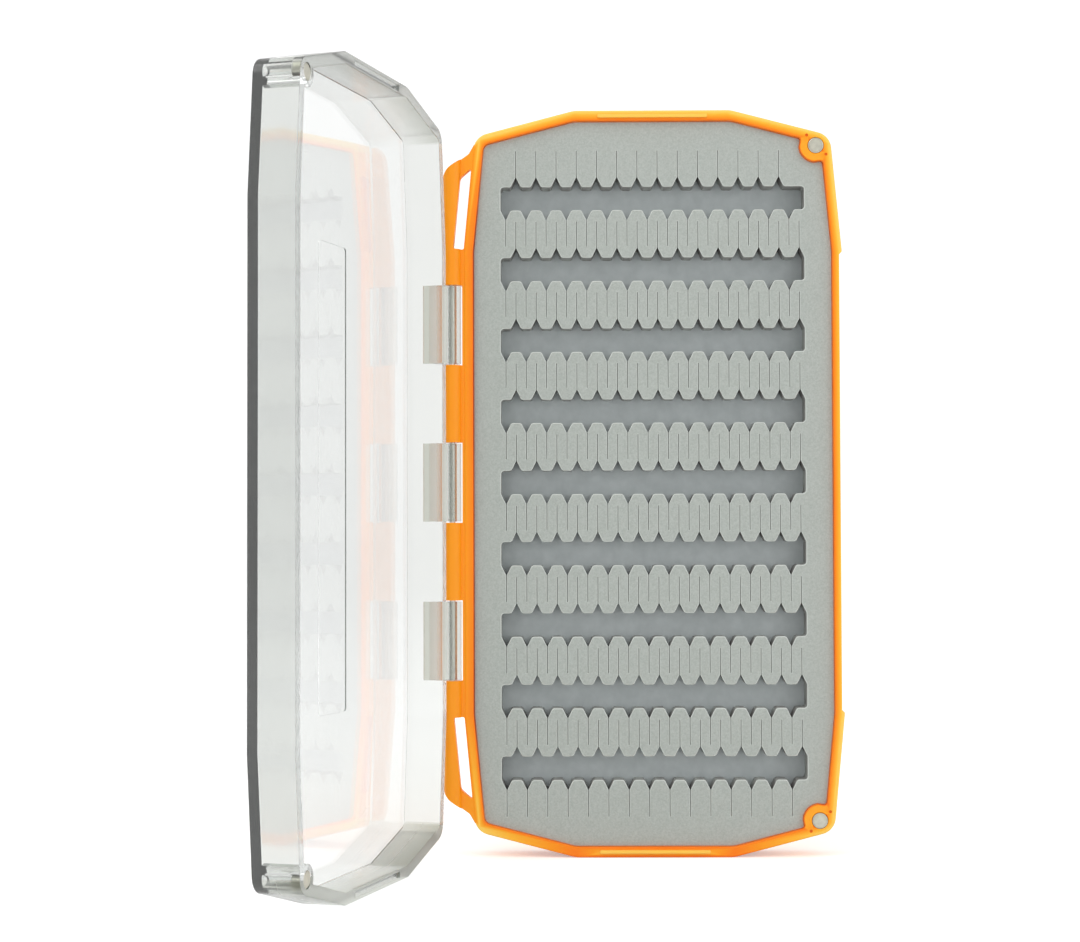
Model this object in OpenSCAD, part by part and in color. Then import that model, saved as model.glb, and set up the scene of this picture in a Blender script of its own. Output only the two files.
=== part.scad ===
// Fly box, standing on its short end with the lid swung open.
// Z runs along the box, X across it from the hinge to the free edge, and Y from the front to the back.
// The origin is the middle of the flat end that the tray stands on.

/* [Box] */
// Overall length of the tray and the lid
box_len = 190; // [170:1:210]
// Width of the tray over its straight sides
box_w = 96.4; // [90:0.2:104]
// How far each corner lies in from the straight side
corner_in = 2.8; // [2.6:0.1:4.6]
// Length of each flat end
end_flat = 40; // [30:1:50]
// Length of the side's tapered part, from its bend to the corner
side_taper = 29.4; // [26:0.2:34]
// Height of the slanted end between the corner and the flat end
gable_h = 6.6; // [5:0.1:8]
// Angle that the lid is opened by in the modelled pose
open_angle = 106; // [0:1:180]

/* [Tray] */
// Depth of the tray from its rim to its back
base_d = 13; // [12.6:0.1:16]
// Thickness of the tray's back
base_floor = 2; // [1.5:0.1:2.2]
// Wall thickness of the tray along its sides
base_wall = 2.5; // [2:0.1:3]
// Wall thickness of the tray at its ends
base_end_wall = 2.7; // [2.6:0.1:3.4]
// Rounding of the four corners
corner_r = 4.5; // [3:0.5:5]
// Rounding where the sides and the ends bend
bend_r = 8; // [4:1:12]
// Depth that the thumb recess is set in from the free side
thumb_set = 0.75; // [0.3:0.05:1]
// Distance of the thumb recess's ends from the bends of the side
thumb_end = 0.4; // [0.2:0.2:18]
// Length of the raised rib on each end of the rim
rib_len = 28; // [20:1:34]
// Width of the raised rib
rib_w = 0.9; // [0.6:0.1:1.1]
// Height of the raised rib
rib_h = 0.6; // [0.3:0.1:0.8]
// Distance from the tray's end to the middle of the rib
rib_in = 1.5; // [1.2:0.1:1.8]

/* [Lid] */
// Depth of the lid from its rim to its outer face
lid_d = 11.2; // [10:0.1:14]
// Thickness of the lid's clear panel
lid_floor = 1.8; // [1.4:0.1:2.2]
// Wall thickness of the lid
lid_wall = 2.8; // [2.4:0.1:3]
// Rounding where the lid's sides and ends bend
lid_bend_r = 1.2; // [0.6:0.1:4]
// Gap between the two rims when the box is shut
part_gap = 0.1; // [0.1:0.05:0.3]
// Clearance round each rib in the lid's rim groove
groove_gap = 0.3; // [0.2:0.05:0.35]
// Length of the bare label panel
label_len = 108.6; // [60:0.2:120]
// Width of the bare label panel
label_w = 16.6; // [10:0.2:24]
// Distance of the label panel's middle from the lid's middle, towards the free edge
label_off = 3.3; // [0:0.1:6]
// Depth that the label panel is set into the lid's outer face
label_set = 0.3; // [0.2:0.05:0.5]

/* [Hinge] */
// Distance of the hinge axis outside the tray's straight side
hinge_out = 3; // [2.9:0.1:3.6]
// Distance of the hinge axis behind the tray's rim
hinge_back = 0.5; // [0.3:0.1:0.8]
// Radius of the hinge barrel
barrel_r = 2.3; // [2:0.1:2.5]
// Radius of the hinge pin
pin_r = 0.75; // [0.5:0.05:1]
// Radial clearance of the pin in the lid's knuckles
pin_run = 0.05; // [0.03:0.01:0.08]
// Radial clearance of the pin in the tray's rail
pin_snug = 0.02; // [0.01:0.005:0.03]
// Length of the hinge pin
pin_len = 114; // [106:1:116]
// Length of each knuckle
knuckle_len = 19.8; // [16:0.2:22]
// Distance along the box from the bend of the side to the middle of the outer knuckle
knuckle_end = 18.9; // [14:0.1:25]
// Gap at each end of a knuckle, and between its barrel and the tray
knuckle_gap = 0.3; // [0.2:0.05:0.5]
// How far each knuckle's arm runs up the lid's wall from the rim
arm_reach = 5.8; // [4:0.1:7.5]
// Thickness of the flat pad at each arm's end
arm_end = 0.8; // [0.4:0.1:1.2]
// Length of the flat pad at each arm's end
arm_flat = 1.4; // [0.6:0.1:2]
// Thickness of the rail that joins the barrel to the tray
rail_t = 2.8; // [2.4:0.1:4]

/* [Strap ears] */
// Distance along the box from the tray's corner to the ear's outer corner
ear_drop = 9.1; // [8:0.1:12]
// Distance along the box from the tray's corner to where the ear meets the tray
ear_root_drop = 2.1; // [1.4:0.1:3.4]
// Width of the strap slot
slot_w = 2.6; // [1.8:0.1:2.6]
// Distance of the strap slot from the outer face of the tray's wall
slot_web = 0.05; // [0:0.05:0.4]
// Distance along the box from the tray's corner to the slot's far end
slot_drop = 8; // [7.8:0.1:12]
// Length of the strap slot
slot_len = 20.9; // [16:0.1:21.2]

/* [Magnets] */
// Diameter of each closure magnet
magnet_d = 4; // [3:0.1:4.2]
// Thickness of each closure magnet
magnet_t = 2.5; // [1.5:0.1:3]
// Distance across the box from each magnet to the tray's corner
magnet_side = 3.7; // [3.2:0.1:4.4]
// Distance along the box from each magnet to the tray's corner
magnet_end = 2.6; // [2.4:0.1:3.4]
// Clearance round a magnet in its pocket
magnet_gap = 0.05; // [0.03:0.01:0.1]
// Depth that each magnet's face lies below the rim
magnet_sink = 0.1; // [0.05:0.05:0.3]
// Radius of the tray's magnet boss
boss_r = 4.2; // [3.6:0.1:4.6]
// Radius of the lid's magnet post
post_r = 3.3; // [3:0.1:3.8]
// Radius of the hollow in the lid's magnet post behind the magnet
post_hollow_r = 1.4; // [1:0.1:1.6]

/* [Foam] */
// Depth of the foam's face below the tray's rim
foam_set = 1.3; // [0.8:0.1:1.6]
// Thickness of the slit foam
slit_t = 6.5; // [4:0.1:6.6]
// Thickness of the adhesive film under the foam
film_t = 0.2; // [0.1:0.05:0.3]
// Gap between the foam and the tray's wall
foam_gap = 0.2; // [0.1:0.05:0.4]
// Least length of foam beyond the windows at each end, with the wall
window_end = 12; // [12:0.5:22]
// Least width of foam beside the windows, with the wall
window_side = 8.5; // [8.5:0.5:20]
// Distance between two windows
window_pitch = 18.15; // [16:0.05:18.3]
// Height of a window between its tooth tips
window_h = 5.9; // [5:0.1:7]
// Distance between two notches along a window's edge
notch_pitch = 5.17; // [4:0.01:5.3]
// Depth of a notch
notch_d = 2.5; // [1.5:0.1:3]
// Length of the slit beyond each notch
slit_len = 6.8; // [2:0.1:7]
// Width of a slit
slit_w = 0.25; // [0.15:0.05:0.3]

/* [Hidden] */
$fn = 48;

// Length by which a cutting solid passes the face it opens
cut = 1;
// Largest angle between two points of a rounded corner
arc_step = 12;

half_len = box_len / 2;
half_w = box_w / 2;
corner_x = half_w - corner_in;
corner_z = half_len - gable_h;
side_half = corner_z - side_taper;
end_half = end_flat / 2;
thumb_half = side_half - thumb_end;
magnet_x = corner_x - magnet_side;
magnet_z = corner_z - magnet_end;
ear_corner = corner_z - ear_drop;
ear_top = corner_z - ear_root_drop;
slot_end = corner_z - slot_drop;
slot_start = slot_end - slot_len;

// Front and back of the tray, with the origin half way between them
rim_y = -base_d / 2;
back_y = base_d / 2;
lid_rim_y = rim_y - part_gap;
lid_face_y = lid_rim_y - lid_d;

hinge_x = -half_w - hinge_out;
hinge_y = rim_y + hinge_back;
rim_above_axis = hinge_y - lid_rim_y;
rail_x = hinge_x - barrel_r;
knuckles = [knuckle_end - side_half, 0, side_half - knuckle_end];

// As many windows and notches as the foam has room for
window_count = floor((box_len - 2 * window_end) / window_pitch);
notch_count = floor((box_w - 2 * window_side) / notch_pitch);
// The upper notches stand half a pitch beside the lower ones, and the end notches open at the window's sides
window_w = notch_count * notch_pitch;
notch_w = notch_pitch / 2;
lower_share = 0.25;
upper_share = 0.75;
foam_y = rim_y + foam_set;
backing_y = foam_y + slit_t;
film_y = back_y - base_floor - film_t;

// A polygon's points moved inwards, each edge by its own distance, for points that run counter-clockwise
function unit(v) = v / norm(v);
function left_of(v) = [-v[1], v[0]];
function meet(p, u, q, v) = p + u * cross(q - p, v) / cross(u, v);
function inset(pts, d) = let (n = len(pts)) [for (i = [0:n - 1])
    let (a = pts[(i + n - 1) % n], b = pts[i], c = pts[(i + 1) % n], u = unit(b - a), v = unit(c - b))
    meet(b + left_of(u) * d[(i + n - 1) % n], u, b + left_of(v) * d[i], v)];

// A polygon with each corner replaced by an arc of its own radius, and 0 for a corner that stays sharp
function arc_at(a, b, c, r) =
    let (u = unit(a - b), v = unit(c - b), half = acos(u * v) / 2, turn = sign(cross(b - a, c - b)),
         mid = b + unit(u + v) * r / sin(half), from = b + u * r / tan(half) - mid,
         start = atan2(from[1], from[0]), sweep = turn * (180 - 2 * half),
         steps = max(1, ceil(abs(sweep) / arc_step)))
    [for (k = [0:steps]) mid + r * [cos(start + sweep * k / steps), sin(start + sweep * k / steps)]];
function rounded(pts, radii) = let (n = len(pts)) [for (i = [0:n - 1])
    each (radii[i] > 0 ? arc_at(pts[(i + n - 1) % n], pts[i], pts[(i + 1) % n], radii[i]) : [pts[i]])];

// The twelve-sided outline of the box, counter-clockwise from the lower end of the free side
box_points = [[half_w, -side_half], [half_w, side_half], [corner_x, corner_z], [end_half, half_len],
              [-end_half, half_len], [-corner_x, corner_z], [-half_w, side_half], [-half_w, -side_half],
              [-corner_x, -corner_z], [-end_half, -half_len], [end_half, -half_len], [corner_x, -corner_z]];
function box_radii(bend, corner) = [for (quarter = [0:3]) each [bend, bend, corner]];
function box_insets(side, end) = let (gable = (side + end) / 2)
    [side, side, gable, end, gable, side, side, side, gable, end, gable, side];

base_inner_points = inset(box_points, box_insets(base_wall, base_end_wall));
foam_points = inset(base_inner_points, box_insets(foam_gap, foam_gap));
lid_inner_points = inset(box_points, box_insets(lid_wall, lid_wall));
base_outer = rounded(box_points, box_radii(bend_r, corner_r));
base_inner = rounded(base_inner_points, box_radii(bend_r, corner_r - base_wall));
foam_outline = rounded(foam_points, box_radii(bend_r, corner_r - base_wall));
lid_outer = rounded(box_points, box_radii(lid_bend_r, corner_r));
lid_inner = rounded(lid_inner_points, box_radii(lid_bend_r, corner_r - lid_wall));

// A flat shape drawn in X and Z from the middle of the box, made solid between two depths
module plate(y0, y1) translate([0, y1, half_len]) rotate([90, 0, 0]) linear_extrude(y1 - y0) children();
module both_ends() {
    children();
    mirror([0, 1]) children();
}
module at_magnets() for (s = [-1, 1]) translate([magnet_x, s * magnet_z]) children();
module along_axis(z0, z1) translate([hinge_x, hinge_y, half_len + z0]) linear_extrude(z1 - z0) children();
module lid_pose() translate([hinge_x, hinge_y, 0]) rotate([0, 0, -open_angle])
    translate([-hinge_x, -hinge_y, 0]) children();
module rim_rib(grow) both_ends()
    translate([0, half_len - rib_in]) square([rib_len + 2 * grow, rib_w + 2 * grow], center = true);

// Distance of the slanted side from the long middle line, at a height from the middle of the box
function slant_x(z) = half_w - (z - side_half) * (half_w - corner_x) / (corner_z - side_half);

// Outer corner, waist and tray end of each strap ear, on the hinge side
ear_corner_r = 4.5;
ear_waist_r = 2;
ear_waist_out = 1.3;
ear_waist_drop = 2.3;
ear_waist = [-slant_x(ear_top) - ear_waist_out, ear_top - ear_waist_drop];
ear_root = 1.4;
module ear_outline() {
    half = [[rail_x, ear_corner], ear_waist, [-slant_x(ear_top), ear_top],
            [-slant_x(ear_top) + ear_root, ear_top], [-half_w + ear_root, side_half]];
    n = len(half);
    pts = concat([for (i = [n - 1:-1:0]) half[i]], [for (p = half) [p[0], -p[1]]]);
    radii = [0, 0, 0, ear_waist_r, ear_corner_r, ear_corner_r, ear_waist_r, 0, 0, 0];
    polygon(rounded(pts, radii));
}
slot_shelf = 2.5;
slot_radii = [0.5, 0.4, 0.3, 1.5];
module strap_slot() both_ends() polygon(rounded([
    [-slant_x(slot_start) - slot_web - slot_w, slot_start],
    [-slant_x(slot_start) - slot_web, slot_start],
    [-slant_x(slot_end) - slot_web, slot_end],
    [-slant_x(slot_end - slot_shelf) - slot_web - slot_w, slot_end - slot_shelf]], slot_radii));

// The barrel runs on along both ears and follows their outline
module hinge_rail() {
    plate(rim_y, rim_y + rail_t) ear_outline();
    intersection() {
        plate(hinge_y - barrel_r - cut, back_y) ear_outline();
        along_axis(-ear_top, ear_top) circle(barrel_r);
    }
}

// The recess's ends slope in at 45 degrees
module thumb_recess() polygon([[half_w - thumb_set, -thumb_half + thumb_set], [half_w, -thumb_half],
    [half_w + cut, -thumb_half], [half_w + cut, thumb_half], [half_w, thumb_half],
    [half_w - thumb_set, thumb_half - thumb_set]]);

dimple_r = 0.4;
dimple_d = 0.4;
dimple_near = [2.6, -2.3];
dimple_far = [-2.3, 2.6];
module ejector_dimples() for (s = [-1, 1], d = [dimple_near, dimple_far])
    translate([magnet_x + d[0], s * (magnet_z + d[1])]) circle(dimple_r, $fn = 16);

module base_shell() color([1, 0.5, 0.07]) difference() {
    union() {
        difference() {
            plate(rim_y, back_y) polygon(base_outer);
            plate(rim_y - cut, back_y - base_floor) polygon(base_inner);
        }
        plate(rim_y, back_y) intersection() {
            polygon(base_outer);
            at_magnets() circle(boss_r);
        }
        hinge_rail();
        plate(rim_y - rib_h, rim_y) rim_rib(0);
    }
    plate(rim_y - cut, back_y + cut) thumb_recess();
    plate(rim_y - cut, rim_y + magnet_sink + magnet_t) at_magnets() circle(magnet_d / 2 + magnet_gap);
    plate(rim_y - cut, rim_y + dimple_d) ejector_dimples();
    plate(rim_y - barrel_r - cut, back_y + cut) strap_slot();
    for (z = knuckles) along_axis(z - knuckle_len / 2 - knuckle_gap, z + knuckle_len / 2 + knuckle_gap)
        translate([-barrel_r - cut, -barrel_r - cut])
            square([2 * barrel_r + cut + knuckle_gap, 2 * barrel_r + rail_t + 2 * cut]);
    along_axis(-pin_len / 2, half_len) circle(pin_r + pin_snug);
}

// Notches and slits along one edge of a window, the first one starting a share of a pitch in
module notch_row(share, count) for (i = [0:count - 1])
    translate([-window_w / 2 + (i + share) * notch_pitch, 0])
        polygon([[-notch_w / 2, -slit_w], [notch_w / 2, -slit_w], [notch_w / 2, 0], [slit_w / 2, notch_d],
                 [slit_w / 2, notch_d + slit_len], [-slit_w / 2, notch_d + slit_len], [-slit_w / 2, notch_d],
                 [-notch_w / 2, 0]]);
module foam_window(upper_count) {
    square([window_w, window_h], center = true);
    translate([0, window_h / 2]) notch_row(upper_share, upper_count);
    translate([0, -window_h / 2]) mirror([0, 1]) notch_row(lower_share, notch_count);
}
module foam_area() difference() {
    polygon(foam_outline);
    at_magnets() circle(boss_r + foam_gap);
}
// The top window has one upper notch fewer, beside the magnet boss
module slit_foam() color([0.68, 0.7, 0.68]) plate(foam_y, backing_y) difference() {
    foam_area();
    for (k = [0:window_count - 1]) translate([0, (k - (window_count - 1) / 2) * window_pitch])
        foam_window(k == window_count - 1 ? notch_count - 1 : notch_count);
}
module foam_backing() color([0.54, 0.57, 0.58]) plate(backing_y, film_y) foam_area();
module foam_adhesive() color([0.9, 0.88, 0.8]) plate(film_y, film_y + film_t) foam_area();

// One closure magnet of the tray, at the upper (1) or lower (-1) end
module magnet_at(y, s) plate(y, y + magnet_t) translate([magnet_x, s * magnet_z]) circle(magnet_d / 2);
module base_magnet_upper() color("silver") magnet_at(rim_y + magnet_sink, 1);
module base_magnet_lower() color("silver") magnet_at(rim_y + magnet_sink, -1);
module lid_magnet_upper() color("silver") lid_pose() magnet_at(lid_rim_y - magnet_sink - magnet_t, 1);
module lid_magnet_lower() color("silver") lid_pose() magnet_at(lid_rim_y - magnet_sink - magnet_t, -1);

module hinge_pin() color("lightgray") along_axis(-pin_len / 2, pin_len / 2) circle(pin_r);

// Section of a knuckle with the lid shut, from the axis: a round barrel, and an arm that leaves it at a tangent
// and ends in a flat pad on the lid's wall
module knuckle_section() {
    tip = [hinge_out - arm_end, -arm_reach - rim_above_axis];
    pad = tip + [0, arm_flat];
    lean = atan2(pad[1], pad[0]) - acos(barrel_r / norm(pad));
    root = hinge_out + lid_wall / 2;
    circle(barrel_r);
    polygon([barrel_r * [cos(lean), sin(lean)], pad, tip, [root, tip[1]], [root, -rim_above_axis],
             [sqrt(barrel_r * barrel_r - rim_above_axis * rim_above_axis), -rim_above_axis], [0, 0]]);
}

module lid_shell() color([0.78, 0.8, 0.79, 0.35]) lid_pose() difference() {
    union() {
        difference() {
            plate(lid_face_y, lid_rim_y) polygon(lid_outer);
            plate(lid_face_y + lid_floor, lid_rim_y + cut) polygon(lid_inner);
        }
        plate(lid_face_y, lid_rim_y) intersection() {
            polygon(lid_outer);
            at_magnets() circle(post_r);
        }
        for (z = knuckles) along_axis(z - knuckle_len / 2, z + knuckle_len / 2) knuckle_section();
    }
    plate(lid_rim_y - magnet_sink - magnet_t, lid_rim_y + cut) at_magnets() circle(magnet_d / 2 + magnet_gap);
    plate(lid_face_y + lid_floor, lid_rim_y) at_magnets() circle(post_hollow_r);
    plate(lid_rim_y - rib_h - groove_gap, lid_rim_y + cut) rim_rib(groove_gap);
    plate(lid_face_y - cut, lid_face_y + label_set)
        translate([label_off, 0]) square([label_w, label_len], center = true);
    along_axis(-half_len, half_len) circle(pin_r + pin_run);
}

base_shell();
slit_foam();
foam_backing();
foam_adhesive();
base_magnet_upper();
base_magnet_lower();
hinge_pin();
lid_shell();
lid_magnet_upper();
lid_magnet_lower();
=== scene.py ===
import math

import bmesh
import bpy
from mathutils import Matrix, Vector
from mathutils.geometry import tessellate_polygon


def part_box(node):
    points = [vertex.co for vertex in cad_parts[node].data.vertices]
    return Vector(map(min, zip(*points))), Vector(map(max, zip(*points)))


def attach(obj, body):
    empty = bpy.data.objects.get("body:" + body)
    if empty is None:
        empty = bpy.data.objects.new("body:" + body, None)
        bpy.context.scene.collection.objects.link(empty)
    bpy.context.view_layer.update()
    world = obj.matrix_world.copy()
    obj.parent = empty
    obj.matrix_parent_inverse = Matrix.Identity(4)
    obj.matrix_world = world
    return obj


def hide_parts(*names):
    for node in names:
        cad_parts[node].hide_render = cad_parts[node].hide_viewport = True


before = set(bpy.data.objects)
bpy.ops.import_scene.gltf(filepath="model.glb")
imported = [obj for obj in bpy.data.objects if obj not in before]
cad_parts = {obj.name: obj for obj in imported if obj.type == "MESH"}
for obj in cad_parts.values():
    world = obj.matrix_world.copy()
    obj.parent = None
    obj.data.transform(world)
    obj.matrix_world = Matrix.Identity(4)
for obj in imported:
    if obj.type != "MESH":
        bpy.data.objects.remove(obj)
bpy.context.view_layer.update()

# Fly box on its short end, lid open. Shapes are drawn in millimetres, with z measured from the middle of the
# box's length, and are put in the frame's metres by place().

perMetre = 1000
past = 1.0  # how far a cutting shape passes the face that it opens

_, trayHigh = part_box("base_shell")
foamLow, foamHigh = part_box("slit_foam")
backingLow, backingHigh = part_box("foam_backing")

box = {
    "halfLength": trayHigh[2] * perMetre / 2,
    "halfWidth": trayHigh[0] * perMetre,
    "sideHalf": 59.0,
    "cornerX": 45.4,
    "gableHeight": 6.6,
    "endHalf": 20.0,
    "bendRadius": 8.0,
    "cornerRadius": 4.5,
    "leastCorner": 0.5,
    "bendSteps": 6,
    "cornerSteps": 9,
    "backY": trayHigh[1] * perMetre,
    "rimY": -trayHigh[1] * perMetre,
}


def unit(a, b):
    d = math.hypot(b[0] - a[0], b[1] - a[1])
    return ((b[0] - a[0]) / d, (b[1] - a[1]) / d)


def moveInward(points, distances):
    # each edge of a counter-clockwise outline moves in by its own distance
    moved = []
    for i, b in enumerate(points):
        u, v = unit(points[i - 1], b), unit(b, points[(i + 1) % len(points)])
        p = (b[0] - u[1] * distances[i - 1], b[1] + u[0] * distances[i - 1])
        q = (b[0] - v[1] * distances[i], b[1] + v[0] * distances[i])
        t = ((q[0] - p[0]) * v[1] - (q[1] - p[1]) * v[0]) / (u[0] * v[1] - u[1] * v[0])
        moved.append((p[0] + u[0] * t, p[1] + u[1] * t))
    return moved


def shrunk(outline, distance):
    return moveInward(outline, [distance] * len(outline))


def roundCorners(points, radii, steps):
    # every corner with a radius becomes an arc of its own number of steps
    out = []
    for i, b in enumerate(points):
        if radii[i] <= 0:
            out.append(b)
            continue
        u, v = unit(b, points[i - 1]), unit(b, points[(i + 1) % len(points)])
        half = math.acos(max(-1, min(1, u[0] * v[0] + u[1] * v[1]))) / 2
        middle = unit((0, 0), (u[0] + v[0], u[1] + v[1]))
        centre = (b[0] + middle[0] * radii[i] / math.sin(half), b[1] + middle[1] * radii[i] / math.sin(half))
        reach = radii[i] / math.tan(half)
        start = math.atan2(b[1] + u[1] * reach - centre[1], b[0] + u[0] * reach - centre[0])
        turn = 1 if u[1] * v[0] - u[0] * v[1] > 0 else -1
        sweep = turn * (math.pi - 2 * half)
        for k in range(steps[i] + 1):
            a = start + sweep * k / steps[i]
            out.append((centre[0] + radii[i] * math.cos(a), centre[1] + radii[i] * math.sin(a)))
    return out


def boxOutline(side=0.0, end=None, bend=None, corner=None):
    # the twelve-sided outline of tray and lid, moved in by side along the sides and by end at the ends
    end = side if end is None else end
    bend = box["bendRadius"] if bend is None else bend
    corner = max(box["cornerRadius"] - side, box["leastCorner"]) if corner is None else corner
    w, s, c, h, e = (box[k] for k in ("halfWidth", "sideHalf", "cornerX", "halfLength", "endHalf"))
    z = h - box["gableHeight"]
    points = [(w, -s), (w, s), (c, z), (e, h), (-e, h), (-c, z),
              (-w, s), (-w, -s), (-c, -z), (-e, -h), (e, -h), (c, -z)]
    gable = (side + end) / 2
    moved = moveInward(points, [side, side, gable, end, gable, side, side, side, gable, end, gable, side])
    radii = [bend, bend, corner] * 4
    return roundCorners(moved, radii, [box["bendSteps"], box["bendSteps"], box["cornerSteps"]] * 4)


def rectangle(x0, x1, z0, z1):
    return [(x0, z0), (x1, z0), (x1, z1), (x0, z1)]


def linkMesh(name, bm):
    mesh = bpy.data.meshes.new(name)
    bm.to_mesh(mesh)
    bm.free()
    thing = bpy.data.objects.new(name, mesh)
    bpy.context.scene.collection.objects.link(thing)
    return thing


def makeObject(name, bm):
    bmesh.ops.recalc_face_normals(bm, faces=bm.faces)
    return linkMesh(name, bm)


def bridge(bm, rows, flipped=False):
    # faces between closed rings of equal length
    for a, b in zip(rows, rows[1:]):
        for i in range(len(a)):
            j = (i + 1) % len(a)
            bm.faces.new((a[i], b[i], b[j], a[j]) if flipped else (a[i], a[j], b[j], b[i]))


def loft(name, rings):
    # closed solid through rings of equal length, each a list of (x, y, z)
    bm = bmesh.new()
    rows = [[bm.verts.new(p) for p in ring] for ring in rings]
    bridge(bm, rows)
    bm.faces.new(rows[0])
    bm.faces.new(rows[-1])
    return makeObject(name, bm)


def flat(outline, y):
    return [(x, y, z) for x, z in outline]


def quarter(steps):
    return [math.pi / 2 * k / steps for k in range(steps + 1)]


def roundover(edge, steps):
    # from the face on, how far each ring of a rounded edge lies in from the side and down
    return [(edge * (1 - math.sin(a)), edge * (1 - math.cos(a))) for a in quarter(steps)]


def slab(name, outline, y0, y1, edge=0.0, steps=3):
    # outline made solid between two depths, with rounded edges
    if edge == 0:
        return loft(name, [flat(outline, y0), flat(outline, y1)])
    shape = [(shrunk(outline, across), down) for across, down in roundover(edge, steps)]
    front = [flat(ring, y0 + down) for ring, down in shape]
    return loft(name, front + [flat(ring, y1 - down) for ring, down in reversed(shape)])


def turned(name, profile, centre, axis="y", sides=48):
    # profile is a list of (radius, place along the axis); the solid is closed at both ends
    rings = []
    for r, t in profile:
        ring = []
        for k in range(sides):
            a = 2 * math.pi * k / sides
            u, v = centre[0] + r * math.cos(a), centre[1] + r * math.sin(a)
            ring.append((u, t, v) if axis == "y" else (u, v, t))
        rings.append(ring)
    return loft(name, rings)


def rodProfile(radius, t0, t1, edge, steps=3):
    start = [(radius - across, t0 + along) for across, along in roundover(edge, steps)]
    return start + [(r, t0 + t1 - t) for r, t in reversed(start)]


def applyModifiers(thing):
    # the evaluated shape becomes the piece's plain mesh
    graph = bpy.context.evaluated_depsgraph_get()
    graph.update()
    mesh = bpy.data.meshes.new_from_object(thing.evaluated_get(graph), depsgraph=graph)
    thing.modifiers.clear()
    old = thing.data
    thing.data = mesh
    bpy.data.meshes.remove(old)


def carve(thing, others, operation):
    # joins, cuts or clips with each of the others, which are used up
    for other in others:
        step = thing.modifiers.new(operation, "BOOLEAN")
        step.operation = operation
        step.solver = "EXACT"
        step.object = other
        applyModifiers(thing)
        bpy.data.objects.remove(other)
    return thing


mend = {"weld": 0.002, "sliver": 0.001, "gapSides": 3}


def place(thing, name, material, body, nodes, sharpAngle=32, move=None, weight=60):
    # millimetres from the middle become metres in the frame, and the piece takes its finish and its body
    bm = bmesh.new()
    bm.from_mesh(thing.data)
    bmesh.ops.remove_doubles(bm, verts=bm.verts, dist=mend["weld"])
    bmesh.ops.dissolve_degenerate(bm, dist=mend["sliver"], edges=bm.edges)
    # the slivers that were dissolved can leave three-sided gaps
    bmesh.ops.holes_fill(bm, edges=bm.edges, sides=mend["gapSides"])
    limit = math.radians(sharpAngle)
    for f in bm.faces:
        f.smooth = True
    for e in bm.edges:
        e.smooth = len(e.link_faces) == 2 and e.calc_face_angle(0) < limit
    bmesh.ops.recalc_face_normals(bm, faces=bm.faces)
    bm.to_mesh(thing.data)
    bm.free()
    if move is not None:
        thing.data.transform(move)
    # flat faces keep their own normal, and only the roundings between them shade as curves
    step = thing.modifiers.new("normals", "WEIGHTED_NORMAL")
    step.weight = weight
    step.keep_sharp = True
    applyModifiers(thing)
    thing.data.transform(Matrix.Scale(1 / perMetre, 4) @ Matrix.Translation((0, 0, box["halfLength"])))
    thing.name = thing.data.name = name
    thing.data.materials.clear()
    thing.data.materials.append(material)
    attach(thing, body)
    if nodes:
        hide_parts(*nodes)
    print("piece", name, len(thing.data.polygons), "faces")
    return thing


def newMaterial(name):
    material = bpy.data.materials.new(name)
    material.use_nodes = True
    tree = material.node_tree
    shader = tree.nodes["Principled BSDF"]
    coords = tree.nodes.new("ShaderNodeTexCoord")
    return material, tree, shader, coords.outputs["Object"]


def setInputs(node, values):
    for label, value in values.items():
        node.inputs[label].default_value = value


def noise(tree, coords, scale, detail=3.0, rough=0.5):
    node = tree.nodes.new("ShaderNodeTexNoise")
    setInputs(node, {"Scale": scale, "Detail": detail, "Roughness": rough})
    tree.links.new(coords, node.inputs["Vector"])
    return node.outputs["Fac"]


def ramp(tree, fac, stops):
    node = tree.nodes.new("ShaderNodeValToRGB")
    elements = node.color_ramp.elements
    while len(elements) < len(stops):
        elements.new(0.5)
    for element, (at, colour) in zip(elements, stops):
        element.position = at
        element.color = (*colour, 1)
    tree.links.new(fac, node.inputs["Fac"])
    return node.outputs["Color"]


def spread(tree, value, low, high):
    # a value from 0 to 1 runs from low to high
    node = tree.nodes.new("ShaderNodeMapRange")
    setInputs(node, {"To Min": low, "To Max": high})
    tree.links.new(value, node.inputs["Value"])
    return node.outputs["Result"]


def compute(tree, operation, *values):
    # a Math node on sockets and fixed numbers
    node = tree.nodes.new("ShaderNodeMath")
    node.operation = operation
    for socket, value in zip(node.inputs, values):
        if isinstance(value, float):
            socket.default_value = value
        else:
            tree.links.new(value, socket)
    return node.outputs[0]


def readAttribute(tree, name):
    node = tree.nodes.new("ShaderNodeAttribute")
    node.attribute_name = name
    return node.outputs["Fac"]


def blend(tree, fac, colour, other):
    # other is a fixed colour, taken where fac is 1; colours use the node's inputs 6 and 7 and its output 2
    node = tree.nodes.new("ShaderNodeMix")
    node.data_type = "RGBA"
    tree.links.new(fac, node.inputs[0])
    tree.links.new(colour, node.inputs[6])
    node.inputs[7].default_value = (*other, 1)
    return node.outputs[2]


def bump(tree, shader, height, strength, distance):
    node = tree.nodes.new("ShaderNodeBump")
    setInputs(node, {"Strength": strength, "Distance": distance})
    tree.links.new(height, node.inputs["Height"])
    tree.links.new(node.outputs["Normal"], shader.inputs["Normal"])


def twoTones(colour, look):
    # the stops of a ramp from a slightly darker tone to the colour itself
    return [(look["darkAt"], tuple(c * look["darker"] for c in colour)), (look["lightAt"], colour)]


def coat(tree, shader, colour, roughness):
    tree.links.new(colour, shader.inputs["Base Color"])
    tree.links.new(roughness, shader.inputs["Roughness"])


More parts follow.
